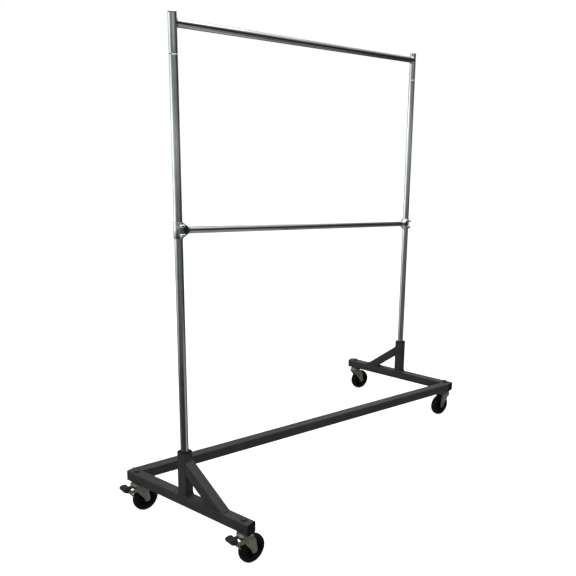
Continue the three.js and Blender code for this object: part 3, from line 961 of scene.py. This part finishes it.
def fork(brake):
    """A pressed yoke: a bent channel trimmed to the cheeks' outline, with its raised race."""
    inside, outside = CHEEK_INSIDE, CHEEK_INSIDE + SHEET
    top, ceiling = CROWN_TOP, CROWN_TOP - SHEET - 1
    channel = soften([(-outside, 20), (-outside, top), (outside, top), (outside, 20)], 5.5, 6)
    channel += soften([(inside, 20), (inside, ceiling), (-inside, ceiling), (-inside, 20)], 3, 6)
    across_to_along = Matrix(((0, 0, 1, 0), (1, 0, 0, 0), (0, 1, 0, 0), (0, 0, 0, 1)))
    bent = moved(prism(channel, -60, 60), across_to_along)
    outline = [(CROWN_BACK, top + 9), (CROWN_FRONT, top + 9), (CROWN_FRONT, top - 3), (TRAIL + 5, 88)]
    outline += arc((TRAIL, WHEEL_R), 11, 4, -188, 28)
    outline.append((-10, 89))
    if brake:
        outline.append((-25, 88))
        outline += arc(PIVOT, EAR_R, -46, -270, 20)[1:]
        outline.append((CROWN_BACK, PIVOT[1] + EAR_R))
    else:
        outline += soften([(-10, 89), (CROWN_BACK, 97), (CROWN_BACK, top)], 5, 5)[1:-1]
    body = combine(bent, sideways(outline, -40, 40), "INTERSECT")
    behind = CROWN_BACK - 0.5
    body = cut(body, prism([(-60, -inside), (behind, -inside), (behind, inside), (-60, inside)], 60, 130))
    raised = [(0, top - 1), (19, top - 1), (19, top + 1.4), (16, top + 3), (0, top + 3)]
    body = join(body, lathe(soften(raised, 1.2, 4), 64))
    body = cut(body, rod(5.4, 80, 130), moved(rod(AXLE_R + HOLE_GAP, -40, 40), lying(TRAIL, WHEEL_R)))
    if brake:
        body = cut(body, pin_hole())
    return rounded(body, 0.5, 2)


def axle():
    """The wheel's bolt: hexagon head on the +Y side, washer and locking nut on the -Y side."""
    seat = CHEEK_INSIDE + SHEET + JOINT_GAP
    body = join(
        rod(AXLE_R, -seat - 3.7, seat + 1, 0.4),
        rod(6.9, -seat - 1.0, -seat, 0.3),
        hexagon(11.4, -seat - 3.3, -seat - 0.8),
        rod(6.4, seat, seat + 0.9, 0.3),
        hexagon(11.0, seat + 0.7, seat + 4.1),
    )
    return moved(rounded(body, 0.25, 2), lying(TRAIL, WHEEL_R))


def tyre():
    """A rubber tread, crowned a little, with a moulding line and softened shoulders."""
    half = TYRE_WIDTH / 2
    inner = HUB_R + 0.15
    profile = [
        (inner, -half + 2), (inner + 3.5, -half), (WHEEL_R - 7, -half), (WHEEL_R - 2, -half + 3.5),
        (WHEEL_R - 0.4, -half + 8), (WHEEL_R, -1), (WHEEL_R - 0.5, -0.4), (WHEEL_R - 0.5, 0.4), (WHEEL_R, 1),
        (WHEEL_R - 0.4, half - 8), (WHEEL_R - 2, half - 3.5), (WHEEL_R - 7, half), (inner + 3.5, half),
        (inner, half - 2),
    ]
    return moved(lathe(soften(profile, 2.2, 4, closed=True), 120, closed=True), lying(TRAIL, WHEEL_R))


def hub():
    """A moulded wheel centre: rim, web and boss, with ribs between them on both sides."""
    half = HUB_WIDTH / 2
    rim = TYRE_WIDTH / 2 - 2.5
    bore = AXLE_R + HOLE_GAP
    profile = [
        (bore, -half), (9.6, -half), (11.5, -7), (26.5, -4), (29, -rim), (HUB_R, -rim),
        (HUB_R, rim), (29, rim), (26.5, 4), (11.5, 7), (9.6, half), (bore, half),
    ]
    body = lathe(soften(profile, 1.2, 4, closed=True), 96, closed=True)
    for k in range(8):
        rib = prism([(10, -0.9), (28.6, -0.9), (28.6, 0.9), (10, 0.9)], 2 - rim, rim - 2)
        body = join(body, moved(rib, Matrix.Rotation(math.pi / 4 * k, 4, "Z")))
    return moved(rounded(body, 0.35, 2), lying(TRAIL, WHEEL_R))


def brake_lever():
    """A bent steel tongue that reaches into the pedal, with the shoe that swings at the tyre."""
    top_side = [(-29, 96), (-30, 101), (-40, 102.5), (-57, 112.5)]
    under_side = [(-58.5, 109.8), (-42, 99), (-40.5, 92), (-34, 90)]
    tongue = soften(top_side + under_side, 1.2, 4, closed=True)
    shoe = soften([(-40, 95), (-30, 91), (-19.6, 70.7), (-23.2, 69.2), (-33, 82)], 1.2, 3, closed=True)
    wide = LEVER_HALF_WIDTH
    body = join(sideways(tongue, -wide, wide), sideways(shoe, 1 - wide, wide - 1))
    return rounded(cut(body, pin_hole()), 0.4, 2)


def brake_pin():
    """A rivet through both ears."""
    seat = CHEEK_INSIDE + SHEET + JOINT_GAP
    profile = [
        (0, -seat - 1.5), (4, -seat - 1.3), (4, -seat), (PIN_R, -seat),
        (PIN_R, seat), (4, seat), (4, seat + 1.3), (0, seat + 1.5),
    ]
    return moved(lathe(soften(profile, 0.7, 3), 40), lying(*PIVOT))


def brake_pedal():
    """A moulded foot pedal over the lever's tongue, with grip ribs across its top."""
    outline = [(-43, 94), (-58, 101), (-64.5, 107), (-65, 113), (-60, 118), (-48, 119), (-37, 115)]
    outline += [(-35, 107), (-38, 104.5), (-43.5, 102.8)]
    block = sideways(soften(outline, 3, 5, closed=True), -PEDAL_HALF_WIDTH, PEDAL_HALF_WIDTH)
    body = rounded(block, 2.4, 4)
    for x, z in ((-42.5, 116.7), (-47.5, 118), (-52.5, 118.1), (-57.5, 117.6)):
        rib = lathe(soften([(0, -12), (0.9, -12), (0.9, 12), (0, 12)], 0.6, 3), 16)
        body = join(body, moved(rib, lying(x, z)))
    slot = [(-28, 101.5), (-40, 103), (-57.1, 113.2), (-59.3, 109.6), (-42.4, 98.7), (-28, 92)]
    wide = LEVER_HALF_WIDTH + HOLE_GAP
    return cut(body, sideways(slot, -wide, wide))


def caster_matrix(name):
    """A caster's own frame: at its stem on the floor, +X the way the wheel trails."""
    stem = Vector(JOINTS[f"swivel_{name}"]["pos_m"]) / MM
    trail = Vector(JOINTS[f"roll_{name}"]["pos_m"]) / MM - stem
    return shift(stem.x, stem.y, 0) @ Matrix.Rotation(math.atan2(trail.y, trail.x), 4, "Z")


def add_casters():
    shapes = {
        "caster_stem": caster_stem(), "stem_nut": stem_nut(), "axle": axle(), "tyre": tyre(), "hub": hub(),
        "brake_lever": brake_lever(), "brake_pin": brake_pin(), "brake_pedal": brake_pedal(),
    }
    forks = {True: fork(True), False: fork(False)}
    for name in CASTERS:
        braked = name in BRAKED
        swivel, wheel, brake = f"swivel_{name}", f"wheel_{name}", f"brake_{name}"
        parts = [
            ("caster_stem", "zinc", "base"),
            ("stem_nut", "charcoal_paint", "base"),
            ("fork", "zinc", swivel),
            ("axle", "zinc", swivel),
            ("tyre", "rubber", wheel),
            ("hub", "black_plastic", wheel),
        ]
        if braked:
            parts += [
                ("brake_lever", "zinc", brake),
                ("brake_pin", "zinc", swivel),
                ("brake_pedal", "pedal_plastic", brake),
            ]
        for kind, slot, body in parts:
            mesh = forks[braked] if kind == "fork" else shapes[kind]
            node = f"{kind}_{name}"
            piece(f"{node}_fine", mesh, caster_matrix(name), slot, body, node)


# ---- studio ----
def add_floor():
    """A wide pale sheet under the wheels, left out of reflections and of bounced light."""
    bm = bmesh.new()
    bmesh.ops.create_grid(bm, x_segments=8, y_segments=8, size=14)
    floor = bpy.data.objects.new("floor", as_mesh(bm))
    floor.data.materials.append(floor_material())
    floor.visible_glossy = False
    floor.visible_diffuse = False
    bpy.context.scene.collection.objects.link(floor)


# Level directions to the parts of the room that the metal reflects.
BRIGHT_END = (-0.605, 0.796, 0)
SHADED_SIDE = (0.796, 0.605, 0)
DARK_NICHE = (0.81, -0.59, 0)
LOW_GLOW = (0.5, -0.866, 0)


def add_world():
    """White behind the object, even light on what is dull. Metal sees a room.

    The room has a floor, a wall with one bright end, a dark band over the wall and a light ceiling.
    """
    world = bpy.data.worlds.new("studio")
    world.use_nodes = True
    tree = world.node_tree
    tree.nodes.clear()
    direction = add(tree, "ShaderNodeTexCoord").outputs["Generated"]

    def along(axis):
        """How far the direction seen goes along an axis, from 0 for against it to 1 for with it."""
        made = add(tree, "ShaderNodeVectorMath", {0: direction, 1: axis}, operation="DOT_PRODUCT")
        spread_out = {"Value": made.outputs["Value"], "From Min": -1.0, "From Max": 1.0}
        return add(tree, "ShaderNodeMapRange", spread_out).outputs["Result"]

    height = along((0, 0, 1))
    room = ramp(tree, height, [
        (0.0, (0.42, 0.40, 0.43)),
        (0.20, (0.32, 0.31, 0.33)),
        (0.27, (0.11, 0.105, 0.115)),
        (0.575, grey(0.03)),
        (0.62, (0.08, 0.085, 0.08)),
        (0.70, (0.17, 0.18, 0.17)),
        (0.75, (0.46, 0.48, 0.46)),
        (0.80, (0.85, 0.87, 0.86)),
        (0.88, grey(1.1)),
        (1.0, grey(1.1)),
    ])
    wall = ramp(tree, along(BRIGHT_END), [
        (0.02, (0.13, 0.135, 0.13)),
        (0.15, (0.17, 0.178, 0.165)),
        (0.75, (0.21, 0.222, 0.205)),
        (0.90, (0.30, 0.315, 0.30)),
        (0.955, (0.76, 0.82, 0.80)),
        (1.0, (1.3, 1.4, 1.37)),
    ])
    shade = ramp(tree, along(SHADED_SIDE), [(0.76, grey(1)), (0.92, grey(0.6))])
    niche = ramp(tree, along(DARK_NICHE), [(0.95, grey(1)), (0.985, grey(0.12))])
    shelves = [(0.28, 0.16), (0.32, 0.24), (0.37, 0.62), (0.41, 0.85)]
    shelves += [(0.45, 1.4), (0.485, 2.1), (0.525, 1.1), (0.57, 1.6)]
    fade = ramp(tree, height, [(place, grey(value)) for place, value in shelves])
    wall = multiplied(tree, multiplied(tree, multiplied(tree, wall, shade), niche), fade)
    low = ramp(tree, height, [(0.33, grey(1)), (0.37, grey(0))])
    glow = ramp(tree, along(LOW_GLOW), [(0.85, grey(0)), (0.93, grey(1))])
    wall = blend(tree, multiplied(tree, low, glow), wall, (0.3, 0.3, 0.31, 1))
    band = ramp(tree, height, [(0.22, grey(0)), (0.27, grey(1)), (0.57, grey(1)), (0.625, grey(0))])
    flat = add(tree, "ShaderNodeMapping", {"Vector": direction, "Scale": (2.0, 2.0, 5.0)}).outputs["Vector"]
    patches = ramp(tree, speckle(tree, flat, 2.3, 2), [(0.38, grey(0.5)), (0.62, grey(1.5))])
    seen_in_metal = multiplied(tree, blend(tree, band, room, wall), patches)
    seen = add(tree, "ShaderNodeBackground", {"Color": (1, 1, 1, 1), "Strength": 1.0})
    ray = add(tree, "ShaderNodeLightPath").outputs
    color = blend(tree, ray["Is Diffuse Ray"], seen_in_metal, (0.5, 0.5, 0.5, 1))
    lit = add(tree, "ShaderNodeBackground", {"Color": color, "Strength": 1.0})
    mix = add(tree, "ShaderNodeMixShader", {0: ray["Is Camera Ray"], 1: lit.outputs[0], 2: seen.outputs[0]})
    add(tree, "ShaderNodeOutputWorld", {"Surface": mix.outputs[0]})
    bpy.context.scene.world = world


def add_light(name, place, target, size, energy, color=(1, 1, 1)):
    data = bpy.data.lights.new(name, "AREA")
    data.shape = "RECTANGLE"
    data.size, data.size_y = size
    data.energy = energy
    data.color = color
    light = bpy.data.objects.new(name, data)
    light.location = place
    light.rotation_euler = (Vector(target) - Vector(place)).to_track_quat("-Z", "Y").to_euler()
    light.visible_camera = False
    bpy.context.scene.collection.objects.link(light)


def add_studio():
    add_floor()
    add_world()
    add_light("overhead", (0, 0, 4.2), (0, 0, 0), (5, 4), 95)
    add_light("key", (-2.6, -3.4, 3.0), (0, 0, 0.6), (1.6, 2.2), 3)
    add_light("rim", (3.4, 1.6, 2.2), (0, 0, 0.8), (0.9, 2.4), 8)
    scene = bpy.context.scene
    scene.view_settings.view_transform = "Standard"
    scene.view_settings.look = "None"


add_camera()
add_base()
add_top_frame()
add_mid_rail()
add_casters()
add_studio()
